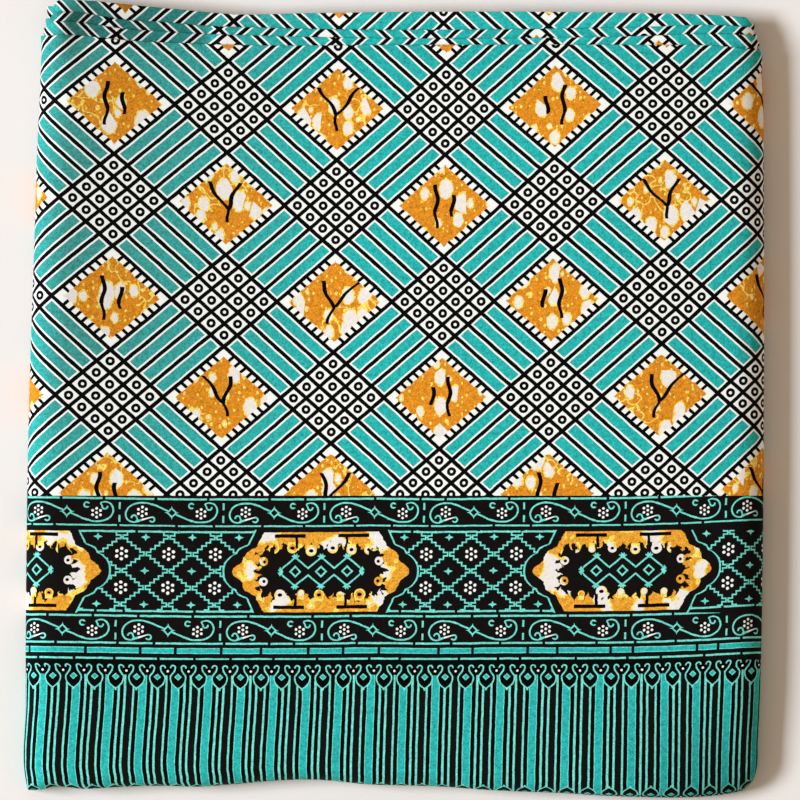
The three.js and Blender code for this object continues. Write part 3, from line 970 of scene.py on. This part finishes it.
def make_panel():
    columns = stations(left_steps=5, right_steps=10, under=UNDER_COLUMNS)
    rows, places = [], []

    def add(line, unrolled_y, side, top, floor, mid=WIDEST_AT):
        points, unrolled = across(columns, line, side, top, floor, mid)
        u, v = flat_place(points[:, 0], unrolled_y(points[:, 0]), unrolled)
        rows.append(points)
        places.append(np.stack([u, v], 1))

    for back in (RETURN, 12.0, 5.0, 1.5):
        depth = 2 * FOLD_RADIUS
        add(
            lambda x: panel_fold(x) - FOLD_RADIUS - back,
            lambda x: panel_fold(x) + FOLD_RADIUS * (math.pi - 1) + back,
            depth,
            HEIGHT - depth,
            depth,
        )
    for degrees in range(180, -1, -20):
        turn = math.radians(degrees)
        depth = FOLD_RADIUS * (1 - math.cos(turn))
        add(
            lambda x: panel_fold(x) - FOLD_RADIUS * (1 - math.sin(turn)),
            lambda x: panel_fold(x) - FOLD_RADIUS * (1 - turn),
            depth,
            HEIGHT - depth,
            depth,
        )
    flat_length = FOLD_AT - FRONT_AT
    stops = sorted({*np.linspace(2.4, flat_length, 112).tolist(), *(z for z, _ in ZONES[1:])})
    # The rows follow the fold near the back, and the front line near the front.
    for v in stops:
        near_back = 1 - eased(v, 2.0, 46.0)
        near_front = eased(v, 332.0, flat_length)

        def line(x):
            back = panel_fold(x) - FOLD_AT
            front = along(FRONT_LINE, x) + FRONT_ROLL - FRONT_AT
            return FOLD_AT - v + back * near_back + front * near_front

        add(line, line, 0, HEIGHT, 0)
    for degrees in range(9, 91, 9):
        turn = math.radians(degrees)
        down = 1 - math.cos(turn)
        fall = HEIGHT - FRONT_END
        top = HEIGHT - fall * down
        mid = WIDEST_AT + (FRONT_END * 0.55 - WIDEST_AT) * min(down, 1)
        arc = (FRONT_ROLL + fall) / 2 * turn
        add(
            lambda x: along(FRONT_LINE, x) + FRONT_ROLL * (1 - math.sin(turn)),
            lambda x: along(FRONT_LINE, x) + FRONT_ROLL - arc,
            0,
            top,
            0,
            mid,
        )
    return surface("face_panel_cloth", rows, places, ZONES), rows


panel, panel_rows = make_panel()


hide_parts("face_panel")
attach(panel, "root")

# --- The lower folds at the back ------------------------------------------------------------
# Every second fold of the length lies at the back. Three stand out beyond the panel's own, each
# a layer turned back under itself. The print meets them at other points of its repeat.
FOLD_CORNER = 3.5
FOLD_LEFT, FOLD_RIGHT = -186, 194
FOLD_REACH = 24.0
LOWER_FOLDS = [  # name, scale in u and shift in u and v of the print, outer edge as x, y
    (
        "fold_upper",
        1.016,
        2.0,
        63.5,
        [
            (-188, 200.0),
            (-169, 199.5),
            (-140, 195.6),
            (-127, 194.9),
            (-103, 193.4),
            (-71, 192.3),
            (130, 192.1),
            (172, 193.4),
            (192, 192.4),
        ],
    ),
    (
        "fold_middle",
        1.029,
        7.9,
        16.7,
        [
            (-188, 205.0),
            (-169, 204.6),
            (-140, 200.4),
            (-126, 199.8),
            (-103, 197.8),
            (-71, 196.6),
            (130, 196.9),
            (172, 197.9),
            (192, 196.6),
        ],
    ),
    (
        "fold_lower",
        1.039,
        0.9,
        69.7,
        [
            (-186, 211.4),
            (-167, 211.2),
            (-139, 208.6),
            (-114, 206.2),
            (-82, 203.6),
            (-50, 204.2),
            (130, 204.3),
            (162, 203.5),
            (186, 202.2),
        ],
    ),
]


def make_fold(name, depth, scale_u, shift_u, shift_v, edge):
    columns = stations(left_steps=2, right_steps=2, under=0)
    rows, places = [], []

    def fold_line(x):
        x = np.asarray(x, float)
        to_side = np.minimum(x - FOLD_LEFT, FOLD_RIGHT - x) - depth
        short = FOLD_CORNER - np.clip(to_side, 0, FOLD_CORNER)
        corner = FOLD_CORNER - np.sqrt(FOLD_CORNER**2 - short**2)
        return along(edge, x) - corner

    def add(line, unrolled_y, inset):
        points, unrolled = across(
            columns, line, depth + inset, HEIGHT - depth - inset, depth + inset, WIDEST_AT
        )
        x = points[:, 0]
        u, v = flat_place(x, unrolled_y(x), unrolled, eased(x, -182, -150))
        rows.append(points)
        places.append(np.stack([u * scale_u + shift_u, v + shift_v], 1))

    for back in (1.0, 0.5, 0.2):
        add(
            lambda x: fold_line(x) + (panel_fold(x) - FOLD_REACH - fold_line(x)) * back,
            lambda x: fold_line(x) + FOLD_RADIUS * 2 + FOLD_REACH * back,
            2 * FOLD_RADIUS,
        )
    for degrees in range(180, -1, -20):
        turn = math.radians(degrees)
        add(
            lambda x: fold_line(x) - FOLD_RADIUS * (1 - math.sin(turn)),
            lambda x: fold_line(x) - FOLD_RADIUS * (1 - turn),
            FOLD_RADIUS * (1 - math.cos(turn)),
        )
    for share in (0.06, 0.12, 0.2, 0.3, 0.42, 0.6, 0.8, 1.0):

        def line(x):
            start = fold_line(x) - FOLD_RADIUS
            return start + (panel_fold(x) - FOLD_REACH - start) * share

        add(line, line, 0)
    return surface(name + "_cloth", rows, places, [(-math.inf, folds_field)]), rows


for number, (name, *how) in enumerate(LOWER_FOLDS):
    fold, fold_rows = make_fold(name, LAYER_PITCH * (number + 1), *how)
    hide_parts(name)
    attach(fold, "root")

# --- The hidden layers ----------------------------------------------------------------------
# The rest of the cloth, pressed into one block. Its layers part at the edges: fold edges at the
# back and, under the turned-down panel, at the front, with none quite over another.
LEAF_COUNT = 12
LEAVES_UNDER_FOLDS = 8
LEAF_BOTTOM, LEAF_TOP = 1.0, 16.8
LEAF_OUTLINE = 44  # points along each side
LEAF_CORNER = 0.06
LEAF_PROFILE = (0.0, 0.12, 0.32, 0.68, 0.88, 1.0)  # the heights of a leaf's rings, as shares
LEAF_OVERLAP = 1.04  # a leaf's height, in pitches
LEAF_ROUND = 0.75  # how much its edge is rounded off at the top and the bottom
LEAF_CLEAR, LEAF_CLEAR_SIDES = 1.0, 2.1  # from the front and from the rolled sides
LEAF_CLEAR_FOLDS, FOLDS_FROM = 8.0, 128  # the same beside the folds, and from which y
LEAF_MIDDLE = (0.0, -5.0)
LEAF_SLACK = 2.0  # how far the top can dip before the layers below it are pressed down too
PANEL_WALL = 1.6  # what the panel takes up, with the layer folded back under it


def leaf_outline():
    """The unit outline of a leaf: a square with its corners cut round."""
    turns = [(-1, -1), (1, -1), (1, 1), (-1, 1)]
    outline = []
    for i, (x, y) in enumerate(turns):
        nx, ny = turns[(i + 1) % 4]
        for share in np.linspace(LEAF_CORNER, 2 - LEAF_CORNER, LEAF_OUTLINE):
            outline.append((x + (nx - x) / 2 * share, y + (ny - y) / 2 * share))
        pull = LEAF_CORNER * (1 - math.sqrt(0.5))
        outline.append((nx - math.copysign(pull, nx), ny - math.copysign(pull, ny)))
    return np.array(outline)


def side_inset(height, roll, clear):
    """How far a leaf is inside a rolled side, at its height."""
    reach = (HEIGHT - WIDEST_AT if height > WIDEST_AT else WIDEST_AT) - clear
    share = np.minimum(1.0, abs(height - WIDEST_AT) / reach)
    return clear + np.maximum(0.0, roll - clear) * (1 - np.sqrt(1 - share**2))


def front_inset(height):
    """How far a leaf is behind the front line, so that it is clear of the turned-down panel."""
    if height < FRONT_END - 0.3:
        return 0.0
    full = HEIGHT - PANEL_WALL
    down = min(1.0, (full - height) / (full - FRONT_END))
    back = (FRONT_ROLL - PANEL_WALL) * (1 - math.sqrt(1 - (1 - down) ** 2))
    return PANEL_WALL + LEAF_CLEAR + back


def make_layers():
    rng = np.random.default_rng(7)
    outline = leaf_outline()
    count = len(outline)
    pitch = (LEAF_TOP - LEAF_BOTTOM) / LEAF_COUNT
    rings, spots, faces = [], [], []
    total = 0
    for number in range(LEAF_COUNT):
        bottom = LEAF_BOTTOM + pitch * number
        under = number < LEAVES_UNDER_FOLDS
        back_short = rng.uniform(0.5, 6.0)
        front_short = rng.uniform(0.4, 3.0)
        wave = rng.uniform(0, math.tau, 2)
        shift = rng.uniform(0, 100, 2)
        start = total
        for share in LEAF_PROFILE:
            height = bottom + pitch * LEAF_OVERLAP * share
            round_off = LEAF_ROUND * abs(2 * share - 1) ** 3
            x, y = outline[:, 0] * 190.0, outline[:, 1] * 205.0
            for _ in range(5):  # x and y depend on each other, and soon settle
                if under:
                    back = along(LOWER_FOLDS[-1][4], x) - back_short
                    back = back + 0.5 * np.sin(x / 31 + wave[0])
                else:
                    back = panel_fold(x) - FOLD_REACH - 1.0
                front = along(FRONT_LINE, x) + max(front_short, front_inset(height))
                front = front + 0.3 * np.sin(x / 23 + wave[1]) + round_off
                y = front + (back - round_off - front) * (outline[:, 1] + 1) / 2
                beside = under & (y > FOLDS_FROM)
                clear = np.where(beside, LEAF_CLEAR_FOLDS, LEAF_CLEAR_SIDES)
                left = along(LEFT_SIDE, y) + side_inset(height, LEFT_ROLL, clear) + round_off
                right = along(RIGHT_SIDE, y) - side_inset(height, RIGHT_ROLL, clear) - round_off
                x = left + (right - left) * (outline[:, 0] + 1) / 2
            pressed = np.minimum(relief(x, y) + LEAF_SLACK, 0) * height / LEAF_TOP
            rings.append(np.stack([x, y, height + pressed], 1))
            spots.append(np.stack([x + shift[0], FOLD_AT - y + shift[1] - height + bottom], 1))
            total += count
        last = len(LEAF_PROFILE) - 1
        for ring in range(last):
            for i in range(count):
                a = start + ring * count + i
                b = start + ring * count + (i + 1) % count
                faces.append((a, b, b + count, a + count))
        for ring, flip in ((0, True), (last, False)):
            base = start + ring * count
            level = bottom if flip else bottom + pitch * LEAF_OVERLAP
            rings.append(np.array([[*LEAF_MIDDLE, level]]))
            spots.append(np.array([[shift[0], FOLD_AT + shift[1]]]))
            for i in range(count):
                corner = (base + i, base + (i + 1) % count, total)
                faces.append(corner[::-1] if flip else corner)
            total += 1
    points, spots = np.concatenate(rings), np.concatenate(spots)
    return mesh_piece("hidden_layers_block", points, spots, faces, [field])


block = make_layers()
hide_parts("hidden_layers")
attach(block, "root")

# --- The surface, the light and the camera --------------------------------------------------
# A plain warm white table of painted board. The light is a large soft window far to the left,
# and the warm room fills the shadows. The camera is straight above.
table = bpy.data.materials.new("table")
table.use_nodes = True
tree = table.node_tree
grain = node(tree, "TexNoise", None, None, 40.0, 3.0)
tone = painted(tree, linear("#EEE5E1"), [(grain * 0.12, linear("#E2D6CE"))])
surface_shader = tree.nodes["Principled BSDF"]
tree.links.new(tone.socket, surface_shader.inputs["Base Color"])
surface_shader.inputs["Roughness"].default_value = 0.8
bpy.ops.mesh.primitive_plane_add(size=6)
floor = bpy.context.object
floor.name = "table_top"
floor.data.materials.append(table)

window = bpy.data.lights.new("window", "AREA")
window.shape = "RECTANGLE"
window.size = 2.0
window.size_y = 3.0
window.energy = 664
window.color = (0.8, 0.91, 1.0)
lamp = bpy.data.objects.new("window", window)
lamp.location = (-5.6, 0.0, 4.21)
lamp.rotation_euler = (0, math.radians(-53), 0)
bpy.context.scene.collection.objects.link(lamp)

world = bpy.data.worlds.new("room")
world.use_nodes = True
world.node_tree.nodes["Background"].inputs[0].default_value = (1.0, 0.83, 0.62, 1)
world.node_tree.nodes["Background"].inputs[1].default_value = 0.42
bpy.context.scene.world = world
bpy.context.scene.view_settings.view_transform = "Standard"

CAMERA_X, CAMERA_Y, VIEW = 2.8, -0.8, 424
camera_data = bpy.data.cameras.new("overhead")
camera_data.type = "ORTHO"
camera_data.ortho_scale = VIEW * MM
camera = bpy.data.objects.new("overhead", camera_data)
camera.location = (CAMERA_X * MM, CAMERA_Y * MM, 1.2)
bpy.context.scene.collection.objects.link(camera)
bpy.context.scene.camera = camera
